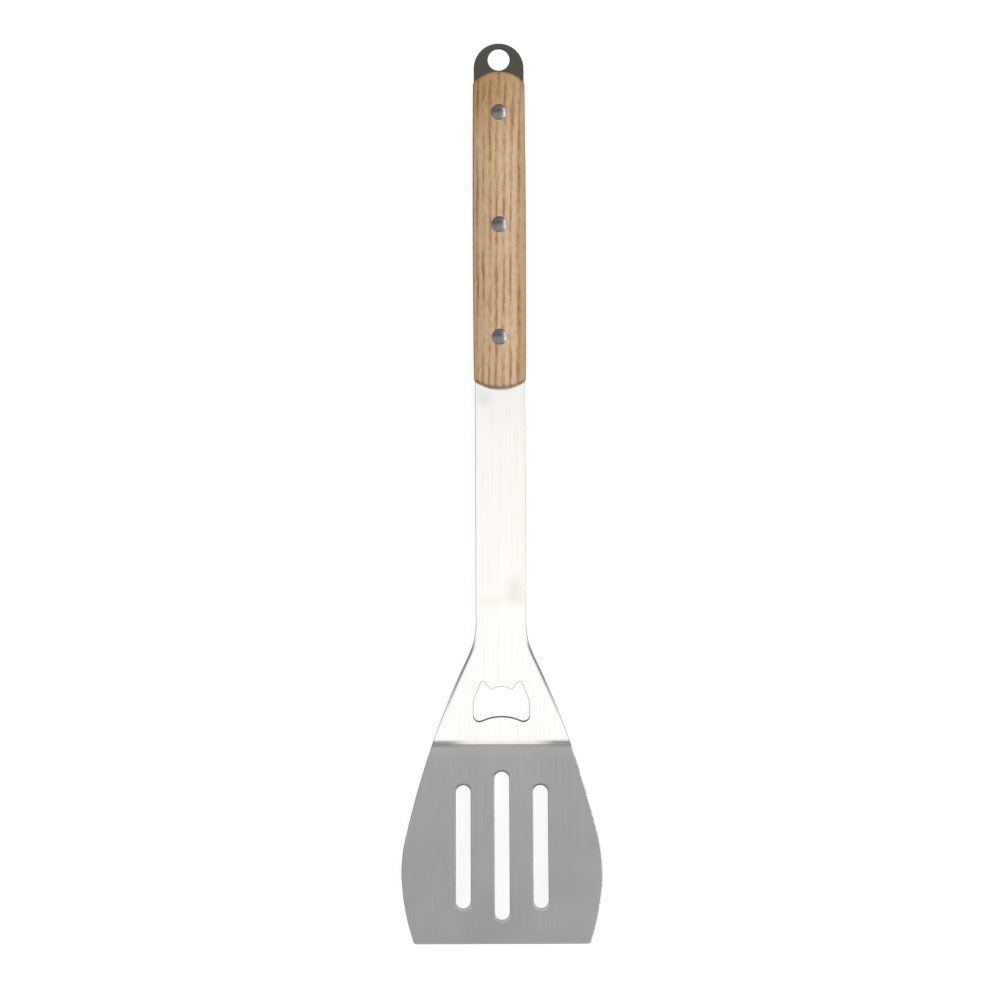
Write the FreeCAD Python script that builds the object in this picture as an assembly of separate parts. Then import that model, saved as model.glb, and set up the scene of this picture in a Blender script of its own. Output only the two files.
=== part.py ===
import FreeCAD, Part
import math
import os

from FreeCAD import Placement, Rotation, Vector

# A grill spatula: one stainless sheet is blade, neck, shank and full tang, and two wooden
# scales are riveted to the tang. Millimetres and degrees. It lies as it comes to rest on a
# table, on the underside of the crease and the butt of the back scale: X across the blade,
# +Y towards the butt, +Z up, origin under the middle of its bounding box.

# The sheet, measured along its middle surface
SHEET = 2.0
BLADE_LENGTH = 100.3
NECK_LENGTH = 75.0
SHANK_LENGTH = 279.1
CREASE_ANGLE = 28.0
CREASE_RADIUS = 5.0
SHOULDER_ANGLE = 16.5
SHOULDER_RADIUS = 45.0
EDGE_ROUND = 0.3

# Its outline seen from above: the heading is measured from +Y, positive where it widens
FRONT_HALF_WIDTH = 43.7
FRONT_HEADING = 19.8
FRONT_CORNER_RADIUS = 1.6
FRONT_OVERRUN = 3.0
SIDE_ARCS = ((113.0, 5.3), (72.0, -13.1), (450.0, -25.5))
SHANK_HALF_WIDTH = 12.5

# Drain slots, measured back from the blade's front edge
SLOT_WIDTH = 7.5
SLOT_PITCH = 19.4
MIDDLE_SLOT = (11.8, 85.8)
SIDE_SLOT = (17.5, 79.0)

# Bottle opener in the neck, measured up from the crease, as half widths and heights
OPENER_ARCH_TOP = 14.1
OPENER_FOOT = (14.1, 9.0)
OPENER_WAIST = (14.1, 22.6)
OPENER_EAR = (9.6, 34.0)
OPENER_TOOTH = (5.1, 28.3)
OPENER_LIP_TOP = 30.1
OPENER_ROUNDS = {OPENER_FOOT: 3.0, OPENER_WAIST: 15.0, OPENER_EAR: 1.2, OPENER_TOOTH: 0.9}

# Hanging hole and handle scales, measured along the shank from the shoulder bend
HANGING_HOLE_AT = 270.9
HANGING_HOLE_RADIUS = 5.5
HANGING_HOLE_ROUND = 0.4
SCALE_THICKNESS = 8.5
SCALE_ENDS = (105.4, 263.6)
SCALE_CORNERS = (109.5, 258.5)
SCALE_CORNER_HALF_WIDTHS = (13.0, 12.9)
SCALE_MIDDLE_HALF_WIDTH = 13.3
SCALE_CROWN_RADIUS = 24.0
SCALE_CORNER_RADIUS = 3.0
SCALE_EDGE_ROUND = 2.0

# Two-piece rivets: a tubular half from the front takes a pinned half from the back
RIVETS_AT = (130.7, 186.8, 242.9)
RIVET_HOLE_RADIUS = 2.55
BARREL_RADIUS = 2.5
BARREL_BORE_RADIUS = 1.6
PIN_RADIUS = 1.55
HEAD_RADIUS = 3.8
HEAD_RIM = 0.9
HEAD_RISE = 0.9
COUNTERBORE_RADIUS = 3.95
COUNTERBORE_DEPTH = 1.2
RIVET_END_GAP = 0.4
BORE_END_WALL = 1.0

COUNTERBORE_FLOOR = SHEET / 2 + SCALE_THICKNESS - COUNTERBORE_DEPTH
THROUGH = 20.0
NEAR = 0.5
X_AXIS = Vector(1, 0, 0)
Y_AXIS = Vector(0, 1, 0)
Z_AXIS = Vector(0, 0, 1)
ORIGIN = Vector(0, 0, 0)


def at_slope(y, z, slope):
    """The frame of a flat: its own Y runs along the sheet, its own Z is the sheet's normal."""
    return Placement(Vector(0, y, z), Rotation(X_AXIS, slope))


def flats_in_use():
    """Frames of blade, neck and shank with the blade lying level."""
    crease = math.radians(CREASE_ANGLE)
    shoulder = (NECK_LENGTH * math.cos(crease), NECK_LENGTH * math.sin(crease))
    return at_slope(0, 0, 0), at_slope(0, 0, CREASE_ANGLE), at_slope(*shoulder, CREASE_ANGLE - SHOULDER_ANGLE)


def rest_placement():
    """Turns the level spatula until crease and butt both touch the table at z = 0."""
    _, _, shank = flats_in_use()
    half_turn = math.radians(CREASE_ANGLE / 2)
    reach = CREASE_RADIUS / math.cos(half_turn)
    crease_centre = Vector(0, -reach * math.sin(half_turn), reach * math.cos(half_turn))
    crease_round = CREASE_RADIUS + SHEET / 2
    butt_depth = SHEET / 2 + SCALE_THICKNESS - SCALE_EDGE_ROUND
    butt_centre = shank.multVec(Vector(0, SCALE_ENDS[1] - SCALE_EDGE_ROUND, -butt_depth))
    span = butt_centre - crease_centre
    lean = math.atan2(span.z, span.y) - math.asin((SCALE_EDGE_ROUND - crease_round) / span.Length)
    turn = Rotation(X_AXIS, -math.degrees(lean))
    return Placement(Vector(0, 0, crease_round - turn.multVec(crease_centre).z), turn)


REST = rest_placement()
BLADE, NECK, SHANK = [REST.multiply(flat) for flat in flats_in_use()]
FRONT_Y = BLADE.multVec(Vector(0, -BLADE_LENGTH, 0)).y
BUTT_Y = SHANK.multVec(Vector(0, SHANK_LENGTH, 0)).y


def placed(shape, frame):
    shape.Placement = frame.multiply(shape.Placement)
    return shape


def prism(edges, height, base=0.0):
    """A solid on the outline `edges`, raised from `base` by `height` along Z."""
    solid = Part.Face(Part.Wire(Part.__sortEdges__(edges))).extrude(Z_AXIS * height)
    solid.translate(Z_AXIS * base)
    return solid


def line(start, end):
    return Part.LineSegment(start, end).toShape()


def arc(start, middle, end):
    return Part.Arc(start, middle, end).toShape()


def mirrored(edges):
    return [edge.mirror(ORIGIN, X_AXIS) for edge in edges]


def round_corners(solid, rounds):
    """Rounds the edges of a prism that stand at the given (x, y) corners, on both sides."""
    for (x, y), radius in rounds.items():
        corner = [
            edge
            for edge in solid.Edges
            if abs(abs(edge.CenterOfMass.x) - x) < 0.01 and abs(edge.CenterOfMass.y - y) < 0.01
        ]
        solid = solid.makeFillet(radius, corner)
    return solid


def upward(heading):
    return Vector(0, -heading.z, heading.y)


def parallel_path(points, radii, offset):
    """Lines and bend arcs of the sheet's side profile, `offset` above its middle surface."""
    headings = [(end - start).normalize() for start, end in zip(points, points[1:])]
    here = points[0] + upward(headings[0]) * offset
    edges = []
    for corner, radius, before, after in zip(points[1:], radii, headings, headings[1:]):
        side = math.copysign(1, before.cross(after).x)
        reach = radius * math.tan(before.getAngle(after) / 2)
        centre = corner - before * reach + upward(before) * (side * radius)
        spoke = side * radius - offset
        middle = (before + after).normalize()
        on_arc = [centre - upward(heading) * spoke for heading in (before, middle, after)]
        edges += [line(here, on_arc[0]), arc(*on_arc)]
        here = on_arc[-1]
    end = points[-1] + upward(headings[-1]) * offset
    return edges + [line(here, end)], end


def bent_strip():
    """The sheet bent to its side profile, as wide as its widest point and longer than the tang."""
    points = [
        BLADE.multVec(Vector(0, -BLADE_LENGTH, 0)),
        BLADE.Base,
        SHANK.Base,
        SHANK.multVec(Vector(0, SHANK_LENGTH + SHANK_HALF_WIDTH, 0)),
    ]
    radii = (CREASE_RADIUS, SHOULDER_RADIUS)
    top, top_end = parallel_path(points, radii, SHEET / 2)
    bottom, bottom_end = parallel_path(points, radii, -SHEET / 2)
    ends = [line(top[0].Vertexes[0].Point, bottom[0].Vertexes[0].Point), line(top_end, bottom_end)]
    width = 4 * FRONT_HALF_WIDTH
    strip = Part.Face(Part.Wire(Part.__sortEdges__(top + bottom + ends))).extrude(X_AXIS * width)
    strip.translate(X_AXIS * (-width / 2))
    return strip


def side_normal(heading):
    angle = math.radians(heading)
    return Vector(-math.cos(angle), math.sin(angle), 0)


def turning_arc(start, heading, radius, new_heading):
    """An arc that leaves `start` at `heading` and ends at `new_heading`, and its end point."""
    side = math.copysign(radius, heading - new_heading)
    centre = start + side_normal(heading) * side
    middle = centre - side_normal((heading + new_heading) / 2) * side
    end = centre - side_normal(new_heading) * side
    return arc(start, middle, end), end


def plan_outline():
    """The outline from above, run on past the front edge, where the strip's own end cuts it."""
    first_radius = SIDE_ARCS[0][0]
    front = Vector(FRONT_HALF_WIDTH, FRONT_Y, 0)
    heading = FRONT_HEADING + FRONT_OVERRUN
    ahead = front + (side_normal(FRONT_HEADING) - side_normal(heading)) * first_radius
    side, here = [], ahead
    for radius, new_heading in SIDE_ARCS:
        edge, here = turning_arc(here, heading, radius, new_heading)
        side.append(edge)
        heading = new_heading
    flare_radius = (here.x - SHANK_HALF_WIDTH) / (1 - math.cos(math.radians(heading)))
    flare, here = turning_arc(here, heading, flare_radius, 0)
    shank_end = Vector(SHANK_HALF_WIDTH, BUTT_Y - SHANK_HALF_WIDTH, 0)
    side += [flare, line(here, shank_end)]
    butt = arc(shank_end, Vector(0, BUTT_Y, 0), Vector(-shank_end.x, shank_end.y, 0))
    return side + mirrored(side) + [butt, line(ahead, Vector(-ahead.x, ahead.y, 0))]


def drain_slot(x, span):
    """Cutter for one round-ended slot; `span` is its two ends, back from the front edge."""
    radius = SLOT_WIDTH / 2
    low, high = (end - BLADE_LENGTH for end in span)
    left, right = x - radius, x + radius
    edges = [
        arc(Vector(left, low + radius), Vector(x, low), Vector(right, low + radius)),
        line(Vector(right, low + radius), Vector(right, high - radius)),
        arc(Vector(right, high - radius), Vector(x, high), Vector(left, high - radius)),
        line(Vector(left, high - radius), Vector(left, low + radius)),
    ]
    return placed(prism(edges, THROUGH, -THROUGH / 2), BLADE)


def bottle_opener():
    """Cutter for the cap opener: an arched foot, two ears, and a lip between two teeth."""
    foot, waist, ear, tooth = (Vector(*corner) for corner in OPENER_ROUNDS)
    side = [line(foot, waist), line(waist, ear), line(ear, tooth)]
    arch = arc(foot, Vector(0, OPENER_ARCH_TOP), Vector(-foot.x, foot.y))
    lip = arc(tooth, Vector(0, OPENER_LIP_TOP), Vector(-tooth.x, tooth.y))
    outline = side + mirrored(side) + [arch, lip]
    return placed(round_corners(prism(outline, THROUGH, -THROUGH / 2), OPENER_ROUNDS), NECK)


def hole_in_shank(radius, along):
    return placed(Part.makeCylinder(radius, THROUGH, Vector(0, along, -THROUGH / 2)), SHANK)


def faces_up_or_down(face):
    low_u, high_u, low_v, high_v = face.ParameterRange
    return abs(face.normalAt((low_u + high_u) / 2, (low_v + high_v) / 2).z) > 0.6


def rim_edges(solid, inside=None):
    """Edges between a face of the sheet and a cut wall, only those within `inside` if given."""
    rims = []
    for edge in solid.Edges:
        faces = solid.ancestorsOfType(edge, Part.Face)
        between = len(faces) == 2 and faces_up_or_down(faces[0]) != faces_up_or_down(faces[1])
        if between and (inside is None or inside.isInside(edge.BoundBox.Center)):
            rims.append(edge)
    return rims


def front_corner_edges(solid):
    return [
        edge
        for edge in solid.Edges
        if edge.BoundBox.XLength < NEAR
        and abs(abs(edge.CenterOfMass.x) - FRONT_HALF_WIDTH) < NEAR
        and edge.CenterOfMass.y < FRONT_Y + NEAR
        and edge.BoundBox.ZLength > SHEET / 2
    ]


def blade_and_tang():
    blank = bent_strip().common(prism(plan_outline(), 4 * THROUGH, -THROUGH))
    blank = blank.Solids[0]
    blank = blank.makeFillet(FRONT_CORNER_RADIUS, front_corner_edges(blank))
    cutters = [drain_slot(0, MIDDLE_SLOT), bottle_opener()]
    cutters += [drain_slot(x, SIDE_SLOT) for x in (-SLOT_PITCH, SLOT_PITCH)]
    blank = blank.cut(cutters).Solids[0]
    blank = blank.makeFillet(EDGE_ROUND, rim_edges(blank))
    holes = [hole_in_shank(RIVET_HOLE_RADIUS, along) for along in RIVETS_AT]
    holes.append(hole_in_shank(HANGING_HOLE_RADIUS, HANGING_HOLE_AT))
    blank = blank.cut(holes).Solids[0]
    around_hole = holes[-1].BoundBox
    around_hole.enlarge(HANGING_HOLE_ROUND)
    return blank.makeFillet(HANGING_HOLE_ROUND, rim_edges(blank, around_hole))


def scale_outline():
    """The scale from above: barrelled sides between two outward arcs."""
    lower, upper = (
        Vector(half_width, along) for half_width, along in zip(SCALE_CORNER_HALF_WIDTHS, SCALE_CORNERS)
    )
    middle = Vector(SCALE_MIDDLE_HALF_WIDTH, sum(SCALE_CORNERS) / 2)
    side = [arc(lower, middle, upper)]
    ends = [
        arc(corner, Vector(0, end), Vector(-corner.x, corner.y))
        for corner, end in zip((lower, upper), SCALE_ENDS)
    ]
    return side + mirrored(side) + ends


def crowned_bar():
    """A long bar on the tang with the scale's crowned top."""
    half_width = SCALE_MIDDLE_HALF_WIDTH + 1
    shoulder = SCALE_THICKNESS - SCALE_CROWN_RADIUS + math.sqrt(SCALE_CROWN_RADIUS**2 - half_width**2)
    right, top = Vector(half_width, 0, shoulder), Vector(0, 0, SCALE_THICKNESS)
    left, foot = Vector(-half_width, 0, shoulder), Vector(half_width, 0, 0)
    edges = [line(foot, right), arc(right, top, left), line(left, Vector(-half_width, 0, 0))]
    edges.append(line(Vector(-half_width, 0, 0), foot))
    bar = Part.Face(Part.Wire(Part.__sortEdges__(edges))).extrude(Vector(0, SHANK_LENGTH, 0))
    bar.translate(Z_AXIS * (SHEET / 2))
    return bar


def handle_scale():
    """The front scale in the shank's frame, counterbored for the rivet heads."""
    scale = prism(scale_outline(), SCALE_THICKNESS + 1, SHEET / 2)
    corners = {
        (half_width, along): SCALE_CORNER_RADIUS
        for half_width, along in zip(SCALE_CORNER_HALF_WIDTHS, SCALE_CORNERS)
    }
    scale = round_corners(scale, corners).common(crowned_bar()).Solids[0]
    crown_rim = [edge for edge in scale.Edges if edge.BoundBox.ZMin > SHEET / 2 + 1]
    scale = scale.makeFillet(SCALE_EDGE_ROUND, crown_rim)
    for along in RIVETS_AT:
        hole = Part.makeCylinder(RIVET_HOLE_RADIUS, THROUGH, Vector(0, along, 0))
        counterbore = Part.makeCylinder(COUNTERBORE_RADIUS, THROUGH, Vector(0, along, COUNTERBORE_FLOOR))
        scale = scale.cut([hole, counterbore])
    return scale.Solids[0]


def rivet_head():
    """A low domed head standing on the counterbore's floor."""
    rim = COUNTERBORE_FLOOR + HEAD_RIM
    cap_radius = (HEAD_RADIUS**2 + HEAD_RISE**2) / (2 * HEAD_RISE)
    part_way = math.asin(HEAD_RADIUS / cap_radius) / 2
    cap_centre = rim + HEAD_RISE - cap_radius
    middle, edge = Vector(0, 0, COUNTERBORE_FLOOR), Vector(HEAD_RADIUS, 0, COUNTERBORE_FLOOR)
    shoulder, crown = Vector(HEAD_RADIUS, 0, rim), Vector(0, 0, rim + HEAD_RISE)
    on_cap = Vector(cap_radius * math.sin(part_way), 0, cap_centre + cap_radius * math.cos(part_way))
    edges = [line(middle, edge), line(edge, shoulder), arc(shoulder, on_cap, crown), line(crown, middle)]
    return Part.Face(Part.Wire(edges)).revolve(ORIGIN, Z_AXIS, 360)


def rivet_socket():
    """Front half: head and barrel, bored from its open end."""
    open_end = RIVET_END_GAP - COUNTERBORE_FLOOR
    length = COUNTERBORE_FLOOR - open_end
    barrel = Part.makeCylinder(BARREL_RADIUS, length, Vector(0, 0, open_end))
    bore = Part.makeCylinder(BARREL_BORE_RADIUS, length - BORE_END_WALL, Vector(0, 0, open_end))
    return rivet_head().fuse(barrel).cut(bore).removeSplitter()


def rivet_pin():
    """Back half, turned over: head and the solid pin that the barrel takes."""
    reach = COUNTERBORE_FLOOR - BORE_END_WALL - RIVET_END_GAP
    pin = Part.makeCylinder(PIN_RADIUS, COUNTERBORE_FLOOR + reach, Vector(0, 0, -reach))
    return turned_over(rivet_head().fuse(pin).removeSplitter())


def turned_over(shape):
    """The same shape on the back of the shank."""
    shape.rotate(ORIGIN, Y_AXIS, 180)
    return shape


def spatula():
    """Every piece by name, in the rest pose."""
    pieces = {
        "blade_and_tang": blade_and_tang(),
        "front_scale": placed(handle_scale(), SHANK),
        "back_scale": placed(turned_over(handle_scale()), SHANK),
    }
    for number, along in enumerate(RIVETS_AT, start=1):
        on_shank = SHANK.multiply(Placement(Y_AXIS * along, Rotation()))
        pieces[f"rivet_socket_{number}"] = placed(rivet_socket(), on_shank)
        pieces[f"rivet_pin_{number}"] = placed(rivet_pin(), on_shank)
    return pieces


def main():
    os.makedirs("parts", exist_ok=True)
    pieces = spatula()
    box = Part.makeCompound(list(pieces.values())).optimalBoundingBox()
    to_origin = Vector(0, -(box.YMin + box.YMax) / 2, -box.ZMin)
    for name, piece in pieces.items():
        piece.translate(to_origin)
        piece.exportStep(f"parts/{name}.step")
        print(name, "valid" if piece.isValid() else "INVALID", len(piece.Solids), round(piece.Volume, 1))
    print("box", box, "moved by", to_origin)


main()
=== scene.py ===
import math

import bpy
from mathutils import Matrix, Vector


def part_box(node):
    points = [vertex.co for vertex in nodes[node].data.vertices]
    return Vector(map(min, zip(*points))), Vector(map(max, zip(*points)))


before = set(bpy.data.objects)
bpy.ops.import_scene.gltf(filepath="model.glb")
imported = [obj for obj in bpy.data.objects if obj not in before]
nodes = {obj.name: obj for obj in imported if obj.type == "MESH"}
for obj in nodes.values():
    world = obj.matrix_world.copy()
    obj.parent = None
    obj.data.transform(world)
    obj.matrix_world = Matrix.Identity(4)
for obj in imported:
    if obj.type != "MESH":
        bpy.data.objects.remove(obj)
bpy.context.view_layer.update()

# The grill spatula lies on a plain white table, seen from straight above. All of its shapes are
# the CAD nodes. This script gives them their finishes, and adds the table, light and camera.
# Lengths are in metres and angles in degrees, in the frame's axes: X across the blade, +Y
# towards the butt, +Z up.

# In what follows, a range of four numbers maps its first two to its last two, smoothly, and a
# range of two numbers maps to 0 and 1. A bump has a distance and a strength.

# Camera: straight above the middle, turned a little so that the butt leans left. The picture is
# FIELD_WIDTH wide at the height FIELD_LEVEL.
CAMERA_HEIGHT = 1.3
CAMERA_X = -0.00025
CAMERA_Y = -0.00435
CAMERA_TURN = -0.25
FIELD_WIDTH = 0.4995
FIELD_LEVEL = 0.015
SENSOR_WIDTH = 36.0

# Sky: its strength, and how it dims towards the horizon, by the height of its direction
SKY_STRENGTH = 1.21
HORIZON_LIGHT = (0.1, 0.6, 0.3, 1.0)

# Soft panel: how far it leans from overhead to the right, and where it is
PANEL_DIRECTION = 40.0
PANEL_DISTANCE = 1.2
PANEL_SIZE = (0.28, 1.5)
PANEL_Y = 0.40
PANEL_WATTS = 7.9

# Table: its size, its glow for the camera and the grey that the object mirrors
TABLE_HALF_SIZE = 15.0
TABLE_GLOW = 0.87
TABLE_GREY = 0.25

# The sheet: how far its faces lean towards the butt, and where it bends
BLADE_LEAN = 13.7
NECK_LEAN = -14.3
SHANK_LEAN = 2.2
NECK_RUN = 0.0727
CREASE_HALF_RUN = 0.0012
SHOULDER_HALF_RUN = 0.0064

# Its rounded and cut edges, darkened with painted shade for the dark surroundings that they
# mirror: the cosines to the bent face's normal at which a surface is still the face, and at
# which it is an edge, and how bright an edge is
EDGE_COSINE = (0.985, 0.94)
EDGE_SHADE = 0.30

# Painted shade at the ends of the crease, for the darker reflection where the bent sheet curls
# there. The profile runs across the crease from the blade to the neck, over CREASE_SHADE_RUN.
# CREASE_SHADE_ASIDE is how it grows away from the middle.
CREASE_SHADE_RUN = 0.006
CREASE_SHADE_ASIDE = (0.015, 0.029, 0.16, 1.0)
CREASE_SHADE_PROFILE = (
    (0.12, 0.0),
    (0.30, 0.22),
    (0.42, 0.36),
    (0.50, 0.66),
    (0.58, 0.76),
    (0.68, 0.55),
    (0.76, 0.30),
    (0.88, 0.0),
)

# The blade's heel, beside the crease: how it brightens towards the crease and where that ends,
# in shares of CREASE_SHADE_RUN from the crease
HEEL_RISE = (-1.4, -0.25, 0.0, 0.06)
HEEL_END = (-0.1, -0.2)

# The line of painted shade inside each edge of the neck, for the darker reflection along its
# edges: how far in it starts and is full, how it fades in and out along the neck in shares of
# FLARE_RUN, and how dark it is
FLARE_RUN = 0.06
FLARE_STEPS = 12
FLARE_LINE = (0.0019, 0.0007)
FLARE_START = (0.10, 0.65)
FLARE_END = (0.94, 0.78)
FLARE_SHADE_DEPTH = 0.72

# The drain slots: half width, and the ends of the middle one and of the outer two
SLOT_HALF_WIDTH = 0.00375
SLOT_PITCH = 0.0194
MIDDLE_SLOT = (-0.2131, -0.1412)
OUTER_SLOT = (-0.2076, -0.1478)

# Painted shade round each slot's end towards the butt, for the shaded table that its cut face
# mirrors, and a paler painted reflection round its other end, for the white table: from where
# to where outside the slot they fade, how far past the slot's straight sides they start, and how
# they change the tone
RIM_OUTSIDE = 0.0015
RIM_INSIDE = 0.0003
RIM_START = (0.0012, 0.0032)
RIM_PAINTED_SHADE = -0.62
RIM_PAINTED_REFLECTION = 0.85

# Steel: its noises, with their scale in X, Y and Z, and what they do to its tone and roughness
HAIRLINES = {"scale": (5200, 34, 34), "detail": 3.0, "roughness": 0.65}
STREAKS = {"scale": (900, 9, 9)}
SMUDGES = {"scale": (38, 26, 38), "detail": 3.0, "roughness": 0.6}
SPECKLE_SCALE = 1800.0
HAIRLINE_TONE = (0.3, 0.7, -0.016, 0.016)
STREAK_TONE = (0.3, 0.7, -0.012, 0.012)
SMUDGE_TONE = (0.35, 0.7, -0.015, 0.015)
SPECKLE_TONE = (0.3, 0.7, 0.86, 1.14)
STEEL_ROUGHNESS = (0.3, 0.75, 0.14, 0.18)
HAIRLINE_BUMP = (0.00002, 0.35)
STREAK_BUMP = (0.00002, 0.25)
BRIGHT_STEEL = (0.830, 0.820, 0.795, 1.0)

# Two faint spots of painted shade: a shadow of the scales just below their lower end, and a
# darker reflection further down. X and distance in Y from the scales' lower end, and half sizes
SHADE_SPOTS = (
    ((-0.008, -0.0045), (0.006, 0.007)),
    ((0.007, -0.1), (0.008, 0.010)),
)
SHADE_SPOT_DEPTH = 0.11

# The dark butt, painted shade for the dark surroundings that the bare tang's end mirrors: it
# starts under the scales' upper end, and is rougher than the rest
SHADED_BUTT_STEEL = (0.121, 0.116, 0.099, 1.0)
BUTT_COVERED = 0.012
BUTT_FADE = 0.001
BUTT_ROUGHER = 0.14

# Wood: growth rings run along the handle, seen nearly edge on, round a log whose centre is at
# this X and Z. The profile runs across one ring.
RING_SPACING = 0.0032
LOG_CENTRE = (-0.1593, -0.05)
RING_PROFILE = ((0.0, 0.35), (0.14, 1.0), (0.32, 0.80), (0.60, 0.0), (0.86, 0.0), (1.0, 0.35))
WANDER = {"scale": (55, 9, 55)}
WOBBLE = {"scale": (420, 40, 420)}
WANDER_SHIFT = (0.3, 0.7, -0.0006, 0.0006)
WOBBLE_SHIFT = (0.25, 0.75, -0.0002, 0.0002)

# Wood: patches, mottle, fibres and pores over the rings
PATCHES = {"scale": (260, 45, 260), "detail": 3.0}
MOTTLE = {"scale": (900, 220, 900), "detail": 3.0, "roughness": 0.65}
FIBRES = {"scale": (2600, 130, 2600), "detail": 3.0, "roughness": 0.7}
PORES = {"scale": (3600, 260, 3600), "detail": 1.0}
PATCH_SHARE = (0.33, 0.62, 0.12, 1.0)
MOTTLE_SHARE = (0.32, 0.68, -0.22, 0.26)
FIBRE_TONE = ((0.3, 0.88), (0.7, 1.1))
PORE_SHAPE = (0.56, 0.66)
PORES_IN_RING = (0.2, 0.9, 0.12, 1.0)
BAND_STRENGTH = 0.9
PORE_STRENGTH = 0.32
WOOD_ROUGHNESS = (0.3, 0.7, 0.46, 0.58)
PORE_ROUGHER = 0.2
FIBRE_BUMP = (0.00004, 0.35)
PORE_BUMP = (0.00009, 0.5)

# Wood: colours, and where it is warmer and darker (near the butt, and along its right side, as
# painted shade of its rounded edge) or end grain.
# The butt's distances are from the scales' upper end.
LIGHT_WOOD = (0.580, 0.404, 0.236, 1.0)
ORANGE_WOOD = (0.308, 0.143, 0.050, 1.0)
PORE_BROWN = (0.20, 0.098, 0.042, 1.0)
WARM_TINT = (0.75, 0.65, 0.52, 1.0)
END_GRAIN = (0.21, 0.105, 0.055, 1.0)
BUTT_WARM_START = 0.044
BUTT_WARM_END = 0.006
BUTT_WARMTH = 0.95
SIDE_SHADE = (0.0065, 0.0105, 0.0, 0.75)
END_GRAIN_FACING = (0.45, 0.9)
END_GRAIN_STRENGTH = 0.42

# Rivets: their dark metal is painted shade for the dark surroundings that the domes mirror
RIVET_SHADED_METAL = (0.185, 0.187, 0.190, 1.0)
SCRATCHES = {"scale": (1500, 7000, 1500), "turn": 35.0}
SPOT_SCALE = 900.0
SPOT_TONE = (0.3, 0.7, 0.92, 1.06)
RIVET_ROUGHNESS = (0.35, 0.7, 0.27, 0.34)
SCRATCH_BUMP = (0.000004, 0.3)


class Graph:
    """The node tree of one material or world, with short calls that add and join nodes."""

    def __init__(self, owner):
        owner.use_nodes = True
        self.tree = owner.node_tree
        self.tree.nodes.clear()

    def add(self, kind, inputs=None, **settings):
        node = self.tree.nodes.new(kind)
        for name, value in settings.items():
            setattr(node, name, value)
        for name, value in (inputs or {}).items():
            if isinstance(value, bpy.types.NodeSocket):
                self.tree.links.new(value, node.inputs[name])
            else:
                node.inputs[name].default_value = value
        return node

    def coordinate(self, name):
        return self.add("ShaderNodeTexCoord").outputs[name]

    def axis(self, vector, name):
        return self.add("ShaderNodeSeparateXYZ", {0: vector}).outputs[name]

    def math(self, operation, *values, clamp=False):
        inputs = dict(enumerate(values))
        return self.add("ShaderNodeMath", inputs, operation=operation, use_clamp=clamp).outputs[0]

    def plus(self, first, second, clamp=False):
        return self.math("ADD", first, second, clamp=clamp)

    def minus(self, first, second):
        return self.math("SUBTRACT", first, second)

    def times(self, first, second):
        return self.math("MULTIPLY", first, second)

    def distance(self, first, second):
        """The length of a line that runs `first` one way and `second` square to it."""
        squares = self.plus(self.times(first, first), self.times(second, second))
        return self.math("SQRT", squares)

    def vector_math(self, operation, *values):
        return self.add("ShaderNodeVectorMath", dict(enumerate(values)), operation=operation)

    def between(self, value, low, high, to_low=0.0, to_high=1.0):
        """`value` mapped from low..high to to_low..to_high, smoothly and clamped."""
        inputs = {
            "Value": value,
            "From Min": low,
            "From Max": high,
            "To Min": to_low,
            "To Max": to_high,
        }
        node = self.add("ShaderNodeMapRange", inputs, interpolation_type="SMOOTHSTEP")
        return node.outputs["Result"]

    def noise(self, vector, scale, detail=2.0, roughness=0.5):
        inputs = {"Vector": vector, "Scale": scale, "Detail": detail, "Roughness": roughness}
        return self.add("ShaderNodeTexNoise", inputs).outputs["Fac"]

    def grain(self, vector, scale, turn=0.0, detail=2.0, roughness=0.5):
        """Noise with its own scale along each axis, turned about Z."""
        rotation = (0.0, 0.0, math.radians(turn))
        inputs = {"Vector": vector, "Scale": scale, "Rotation": rotation}
        stretched = self.add("ShaderNodeMapping", inputs).outputs["Vector"]
        return self.noise(stretched, 1.0, detail, roughness)

    def mix(self, factor, first, second, blend="MIX"):
        """Two colours mixed; the numbers are the Mix node's own places for colours."""
        inputs = {0: factor, 6: first, 7: second}
        return self.add("ShaderNodeMix", inputs, data_type="RGBA", blend_type=blend).outputs[2]

    def ramp(self, factor, stops):
        node = self.add("ShaderNodeValToRGB", {"Fac": factor})
        elements = node.color_ramp.elements
        while len(elements) < len(stops):
            elements.new(1.0)
        for element, (place, colour) in zip(elements, stops):
            element.position = place
            element.color = colour
        return node.outputs["Color"]

    def levels(self, factor, stops):
        """A ramp between plain numbers."""
        return self.ramp(factor, [(place, grey(value)) for place, value in stops])

    def bump(self, height, distance, strength, normal=None):
        inputs = {"Height": height, "Distance": distance, "Strength": strength}
        if normal:
            inputs["Normal"] = normal
        return self.add("ShaderNodeBump", inputs).outputs["Normal"]

    def finish(self, **inputs):
        """A Principled surface with the given sockets, joined to the output."""
        named = {name.replace("_", " "): value for name, value in inputs.items()}
        shader = self.add("ShaderNodeBsdfPrincipled", named)
        self.add("ShaderNodeOutputMaterial", {"Surface": shader.outputs[0]})


def grey(value, warmth=0.0):
    """A linear grey, a little warm."""
    return (value * (1 + warmth), value, value * (1 - warmth), 1.0)


def crease_y():
    """Where the sheet is lowest, on the underside of the crease."""
    mesh = nodes["blade_and_tang"].data
    return min(mesh.vertices, key=lambda vertex: vertex.co.z).co.y


def half_width(along):
    """Half the sheet's width where Y is `along`."""
    mesh = nodes["blade_and_tang"].data
    widest = 0.0
    for edge in mesh.edges:
        first, second = (mesh.vertices[index].co for index in edge.vertices)
        if (first.y - along) * (second.y - along) < 0:
            share = (along - first.y) / (second.y - first.y)
            widest = max(widest, abs(first.x + share * (second.x - first.x)))
    return widest


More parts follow.
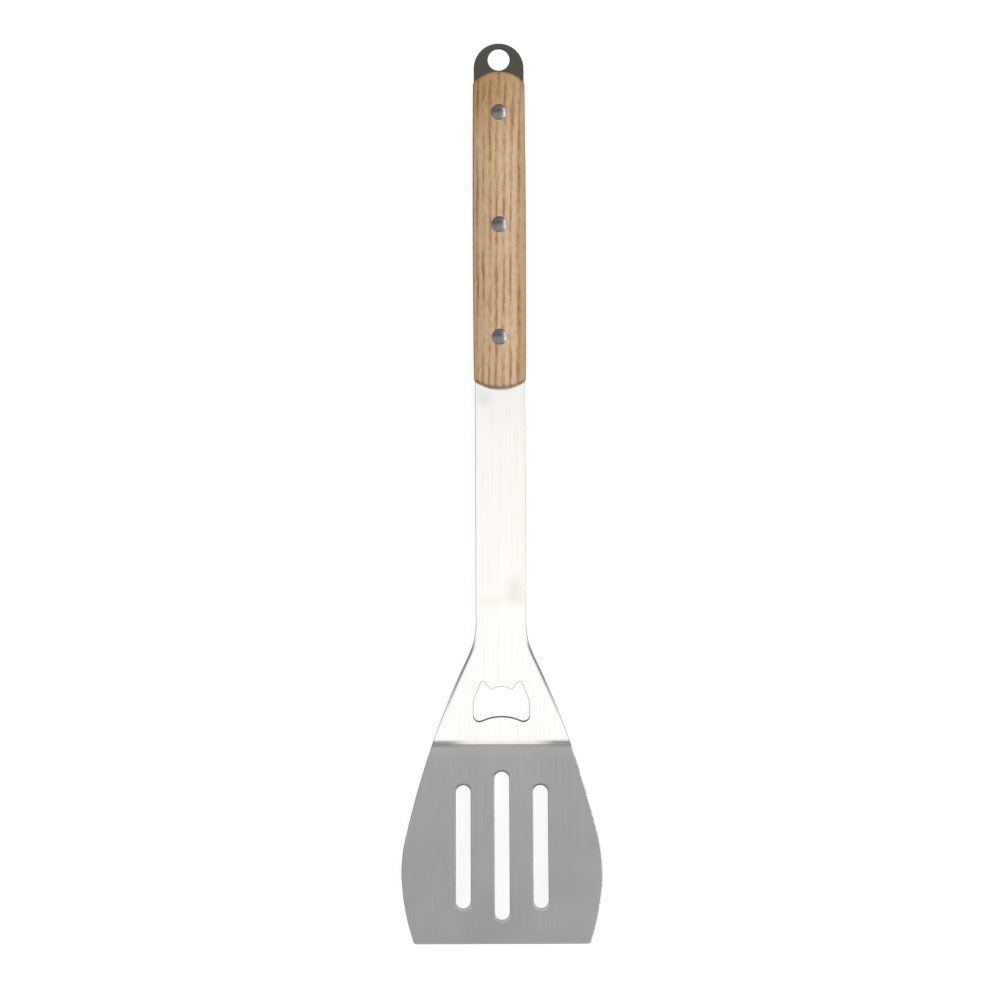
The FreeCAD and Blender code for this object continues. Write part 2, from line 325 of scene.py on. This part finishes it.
def from_crease(graph, place, run):
    """The distance in Y from the crease, towards the butt, in lengths of `run`."""
    return graph.math("DIVIDE", graph.minus(graph.axis(place, "Y"), crease_y()), run)


def from_middle(graph, place):
    """The distance in X from the middle of the sheet."""
    return graph.math("ABSOLUTE", graph.axis(place, "X"))


def soft_spot(graph, place, centre, size):
    """1 at `centre` in X and Y, fading to 0 at the half sizes `size`."""
    away = graph.vector_math("SUBTRACT", place, (centre[0], centre[1], 0.0)).outputs[0]
    scaled = graph.vector_math("MULTIPLY", away, (1 / size[0], 1 / size[1], 0.0)).outputs[0]
    length = graph.vector_math("LENGTH", scaled).outputs["Value"]
    return graph.between(length, 1.0, 0.0)


def crease_shading(graph, place):
    """Painted shade at the ends of the crease, for the darker reflection where the bent sheet
    curls, and the brighter heel; 1 elsewhere.
    """
    share = from_crease(graph, place, CREASE_SHADE_RUN)
    profile = graph.levels(graph.plus(share, 0.5), CREASE_SHADE_PROFILE)
    # Painted shade at the crease's ends, taken off the tone
    crease_shade = graph.times(profile, graph.between(from_middle(graph, place), *CREASE_SHADE_ASIDE))
    heel = graph.times(graph.between(share, *HEEL_RISE), graph.between(share, *HEEL_END))
    return graph.minus(graph.plus(heel, 1.0), crease_shade)


def edge_mask(graph, place):
    """1 on the sheet's rounded and cut edges, 0 on its faces, which lean as it is bent."""
    along = graph.axis(place, "Y")
    blade, neck, shank = (math.radians(lean) for lean in (BLADE_LEAN, NECK_LEAN, SHANK_LEAN))
    crease = crease_y()
    shoulder = crease + NECK_RUN
    start, stop = crease - CREASE_HALF_RUN, crease + CREASE_HALF_RUN
    lean = graph.between(along, start, stop, blade, neck)
    start, stop = shoulder - SHOULDER_HALF_RUN, shoulder + SHOULDER_HALF_RUN
    lean = graph.plus(lean, graph.between(along, start, stop, 0.0, shank - neck))
    normal = graph.coordinate("Normal")
    sideways = graph.times(graph.axis(normal, "Y"), graph.math("SINE", lean))
    upright = graph.times(graph.axis(normal, "Z"), graph.math("COSINE", lean))
    cosine = graph.math("ABSOLUTE", graph.plus(sideways, upright))
    return graph.between(cosine, *EDGE_COSINE)


def flare_shade(graph, place):
    """The line of painted shade inside each edge of the neck, for the darker reflection along its
    edges, darkest below the shank, where the neck starts to widen; 1 elsewhere."""
    share = from_crease(graph, place, FLARE_RUN)
    steps = [step / FLARE_STEPS for step in range(FLARE_STEPS + 1)]
    widths = [(step, half_width(crease_y() + step * FLARE_RUN)) for step in steps]
    inside = graph.minus(graph.levels(share, widths), from_middle(graph, place))
    line = graph.between(inside, *FLARE_LINE)
    line = graph.times(line, graph.between(share, *FLARE_START))
    line = graph.times(line, graph.between(share, *FLARE_END))
    # Painted shade along the neck's edges
    return graph.minus(1.0, graph.times(line, FLARE_SHADE_DEPTH))


def slot_end_shading(graph, place):
    """Painted shade round each drain slot's end towards the butt, and a paler painted reflection
    round its other end; 1 elsewhere."""
    along = graph.axis(place, "Y")
    tone = 1.0
    for centre, (low, high) in ((0.0, MIDDLE_SLOT), (SLOT_PITCH, OUTER_SLOT)):
        offset = graph.minus(from_middle(graph, place), centre)
        above = graph.math("MAXIMUM", graph.minus(along, high - SLOT_HALF_WIDTH), 0.0)
        below = graph.math("MAXIMUM", graph.minus(low + SLOT_HALF_WIDTH, along), 0.0)
        for beyond, change in ((above, RIM_PAINTED_SHADE), (below, RIM_PAINTED_REFLECTION)):
            reach = graph.distance(offset, beyond)
            outside, inside = SLOT_HALF_WIDTH + RIM_OUTSIDE, SLOT_HALF_WIDTH + RIM_INSIDE
            rim_share = graph.between(reach, outside, inside)
            rim_share = graph.times(rim_share, graph.between(beyond, *RIM_START))
            # Painted shade at the end towards the butt, painted reflection at the other
            tone = graph.plus(tone, graph.times(rim_share, change))
    return tone


def steel():
    """Stainless sheet brushed along its length, its end past the scales painted dark as shade."""
    material = bpy.data.materials.new("brushed_steel")
    graph = Graph(material)
    place = graph.coordinate("Object")
    scale_low, scale_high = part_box("front_scale")

    hairlines = graph.grain(place, **HAIRLINES)
    streaks = graph.grain(place, **STREAKS)
    smudges = graph.grain(place, **SMUDGES)
    fine = graph.between(hairlines, *HAIRLINE_TONE)
    coarse = graph.between(streaks, *STREAK_TONE)
    cloud = graph.between(smudges, *SMUDGE_TONE)
    tone = graph.plus(graph.plus(fine, coarse), graph.plus(cloud, 1.0))
    # Painted shade: a shadow of the scales and a darker reflection on the shank
    spots = [soft_spot(graph, place, (x, scale_low.y + y), size) for (x, y), size in SHADE_SPOTS]
    tone = graph.minus(tone, graph.times(graph.math("MAXIMUM", *spots), SHADE_SPOT_DEPTH))
    for marks in (crease_shading, slot_end_shading, flare_shade):
        tone = graph.times(tone, marks(graph, place))
    # Painted shade: the rounded and cut edges are darkened
    tone = graph.times(tone, graph.between(edge_mask(graph, place), 0.0, 1.0, 1.0, EDGE_SHADE))
    bright = graph.mix(1.0, BRIGHT_STEEL, tone, "MULTIPLY")

    # Painted shade: the bare butt is given a dark colour
    start = scale_high.y - BUTT_COVERED
    at_butt = graph.between(graph.axis(place, "Y"), start, start + BUTT_FADE)
    speckle = graph.between(graph.noise(place, SPECKLE_SCALE), *SPECKLE_TONE)
    dark = graph.mix(1.0, SHADED_BUTT_STEEL, graph.times(tone, speckle), "MULTIPLY")
    colour = graph.mix(at_butt, bright, dark)

    rough = graph.between(smudges, *STEEL_ROUGHNESS)
    rough = graph.plus(rough, graph.times(at_butt, BUTT_ROUGHER))
    brushed = graph.bump(hairlines, *HAIRLINE_BUMP)
    brushed = graph.bump(streaks, *STREAK_BUMP, brushed)
    graph.finish(Base_Color=colour, Metallic=1.0, Roughness=rough, Normal=brushed)
    return material


def growth_rings(graph, place):
    """The open early wood of each growth ring, from 0 to 1."""
    across = graph.minus(graph.axis(place, "X"), LOG_CENTRE[0])
    deep = graph.minus(graph.axis(place, "Z"), LOG_CENTRE[1])
    radius = graph.distance(across, deep)
    radius = graph.plus(radius, graph.between(graph.grain(place, **WANDER), *WANDER_SHIFT))
    radius = graph.plus(radius, graph.between(graph.grain(place, **WOBBLE), *WOBBLE_SHIFT))
    ring = graph.math("FRACT", graph.math("DIVIDE", radius, RING_SPACING))
    return graph.levels(ring, RING_PROFILE)


def wood():
    """Light oiled ash with straight rings, open pores and darker end grain."""
    material = bpy.data.materials.new("oiled_ash")
    graph = Graph(material)
    place = graph.coordinate("Object")
    early = growth_rings(graph, place)
    patches = graph.grain(place, **PATCHES)
    mottle = graph.grain(place, **MOTTLE)
    fibres = graph.grain(place, **FIBRES)
    pore = graph.between(graph.grain(place, **PORES), *PORE_SHAPE)
    pore = graph.times(pore, graph.between(early, *PORES_IN_RING))

    band = graph.times(early, graph.between(patches, *PATCH_SHARE))
    band = graph.plus(band, graph.between(mottle, *MOTTLE_SHARE), clamp=True)
    colour = graph.mix(graph.times(band, BAND_STRENGTH), LIGHT_WOOD, ORANGE_WOOD)
    colour = graph.mix(1.0, colour, graph.levels(fibres, FIBRE_TONE), "MULTIPLY")
    colour = graph.mix(graph.times(pore, PORE_STRENGTH), colour, PORE_BROWN)

    _, scale_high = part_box("front_scale")
    start, stop = scale_high.y - BUTT_WARM_START, scale_high.y - BUTT_WARM_END
    near_butt = graph.between(graph.axis(place, "Y"), start, stop, 0.0, BUTT_WARMTH)
    # Painted shade along the handle's right side
    near_side = graph.between(graph.axis(place, "X"), *SIDE_SHADE)
    warmer = graph.math("MAXIMUM", near_butt, near_side)
    colour = graph.mix(warmer, colour, WARM_TINT, "MULTIPLY")

    facing = graph.math("ABSOLUTE", graph.axis(graph.coordinate("Normal"), "Y"))
    end_grain = graph.between(facing, *END_GRAIN_FACING)
    colour = graph.mix(graph.times(end_grain, END_GRAIN_STRENGTH), colour, END_GRAIN)

    rough = graph.between(fibres, *WOOD_ROUGHNESS)
    rough = graph.plus(rough, graph.times(pore, PORE_ROUGHER))
    normal = graph.bump(fibres, *FIBRE_BUMP)
    normal = graph.bump(graph.minus(1.0, pore), *PORE_BUMP, normal)
    graph.finish(Base_Color=colour, Roughness=rough, Normal=normal)
    return material


def rivet():
    """Polished rivet metal, darkened with painted shade, with faint handling scratches."""
    material = bpy.data.materials.new("polished_rivet")
    graph = Graph(material)
    place = graph.coordinate("Object")
    scratches = graph.grain(place, **SCRATCHES)
    tone = graph.between(graph.noise(place, SPOT_SCALE), *SPOT_TONE)
    # Painted shade: the rivet metal is dark
    colour = graph.mix(1.0, RIVET_SHADED_METAL, tone, "MULTIPLY")
    rough = graph.between(scratches, *RIVET_ROUGHNESS)
    scratched = graph.bump(scratches, *SCRATCH_BUMP)
    graph.finish(Base_Color=colour, Metallic=1.0, Roughness=rough, Normal=scratched)
    return material


def apply_finishes():
    """Each node takes the finish of the record's slot that it was packed with."""
    finishes = {"steel": steel(), "wood": wood(), "rivet": rivet()}
    for node in nodes.values():
        finish = finishes[node.data.materials[0].name]
        node.data.materials.clear()
        node.data.materials.append(finish)


def table():
    """A plain table top. To the camera it glows white, so that no shadow greys it. The object
    mirrors it as grey paper, and it is clear from below."""
    mesh = bpy.data.meshes.new("table_top")
    size = TABLE_HALF_SIZE
    corners = [(-size, -size, 0), (size, -size, 0), (size, size, 0), (-size, size, 0)]
    mesh.from_pydata(corners, [], [(0, 1, 2, 3)])
    top = bpy.data.objects.new("table_top", mesh)
    bpy.context.scene.collection.objects.link(top)
    material = bpy.data.materials.new("white_table")
    graph = Graph(material)
    glow = graph.add("ShaderNodeEmission", {"Color": grey(1.0), "Strength": TABLE_GLOW})
    paper = graph.add("ShaderNodeBsdfDiffuse", {"Color": grey(TABLE_GREY)})
    seen = graph.add("ShaderNodeAddShader", {0: glow.outputs[0], 1: paper.outputs[0]})
    direct = graph.add("ShaderNodeLightPath").outputs["Is Camera Ray"]
    lit = graph.add("ShaderNodeMixShader", {0: direct, 1: paper.outputs[0], 2: seen.outputs[0]})
    clear = graph.add("ShaderNodeBsdfTransparent")
    below = graph.add("ShaderNodeNewGeometry").outputs["Backfacing"]
    either = graph.add("ShaderNodeMixShader", {0: below, 1: lit.outputs[0], 2: clear.outputs[0]})
    graph.add("ShaderNodeOutputMaterial", {"Surface": either.outputs[0]})
    mesh.materials.append(material)


def sky():
    """Soft studio light from a sky that is white overhead, grey towards the butt and dark low
    down past the blade's tip. The camera itself sees a plain white backdrop."""
    world = bpy.data.worlds.new("studio")
    bpy.context.scene.world = world
    graph = Graph(world)
    direction = graph.coordinate("Generated")
    upward = graph.axis(direction, "Z")
    tilt = graph.math("ARCTAN2", graph.axis(direction, "Y"), upward)
    # Tilt from overhead towards the butt, and colour. From above, a face mirrors the tilt that
    # is twice its lean: the blade 27, the neck -29 and the shank 4.
    stops = [
        (-90, grey(0.14, 0.12)),
        (-52, grey(0.16, 0.10)),
        (-41, grey(1.0)),
        (-26, grey(1.0)),
        (-14, grey(0.92, 0.035)),
        (-4, grey(0.99, 0.015)),
        (8, grey(0.99, 0.015)),
        (12.5, grey(0.21)),
        (17, (0.308, 0.304, 0.309, 1.0)),
        (22, (0.379, 0.374, 0.380, 1.0)),
        (32, (0.405, 0.400, 0.406, 1.0)),
        (44, grey(0.64, 0.02)),
        (90, grey(0.64, 0.06)),
    ]
    share = graph.plus(graph.math("DIVIDE", tilt, math.pi), 0.5, clamp=True)
    colour = graph.ramp(share, [((degrees + 90) / 180, colour) for degrees, colour in stops])
    colour = graph.mix(1.0, colour, graph.between(upward, *HORIZON_LIGHT), "MULTIPLY")
    studio = graph.add("ShaderNodeBackground", {"Color": colour, "Strength": SKY_STRENGTH})
    plain = graph.add("ShaderNodeBackground", {"Color": grey(1.0)})
    direct = graph.add("ShaderNodeLightPath").outputs["Is Camera Ray"]
    choice = {0: direct, 1: studio.outputs[0], 2: plain.outputs[0]}
    either = graph.add("ShaderNodeMixShader", choice)
    graph.add("ShaderNodeOutputWorld", {"Surface": either.outputs[0]})


def side_panel():
    """A soft panel up to the right of the handle, which the rivets' domes mirror."""
    light = bpy.data.lights.new("side_panel", "AREA")
    light.shape = "RECTANGLE"
    light.size, light.size_y = PANEL_SIZE
    light.energy = PANEL_WATTS
    panel = bpy.data.objects.new("side_panel", light)
    bpy.context.scene.collection.objects.link(panel)
    _, scale_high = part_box("front_scale")
    aim = Vector((0.0, PANEL_Y, scale_high.z))
    angle = math.radians(PANEL_DIRECTION)
    panel.location = aim + Vector((math.sin(angle), 0.0, math.cos(angle))) * PANEL_DISTANCE
    panel.rotation_euler = (0.0, angle, 0.0)


def camera():
    """The camera, with the lens that makes the picture FIELD_WIDTH wide."""
    data = bpy.data.cameras.new("camera")
    data.sensor_width = SENSOR_WIDTH
    data.lens = SENSOR_WIDTH * (CAMERA_HEIGHT - FIELD_LEVEL) / FIELD_WIDTH
    above = bpy.data.objects.new("camera", data)
    bpy.context.scene.collection.objects.link(above)
    above.location = (CAMERA_X, CAMERA_Y, CAMERA_HEIGHT)
    above.rotation_euler = (0.0, 0.0, math.radians(CAMERA_TURN))
    bpy.context.scene.camera = above


apply_finishes()
table()
sky()
side_panel()
camera()
bpy.context.scene.view_settings.view_transform = "Standard"
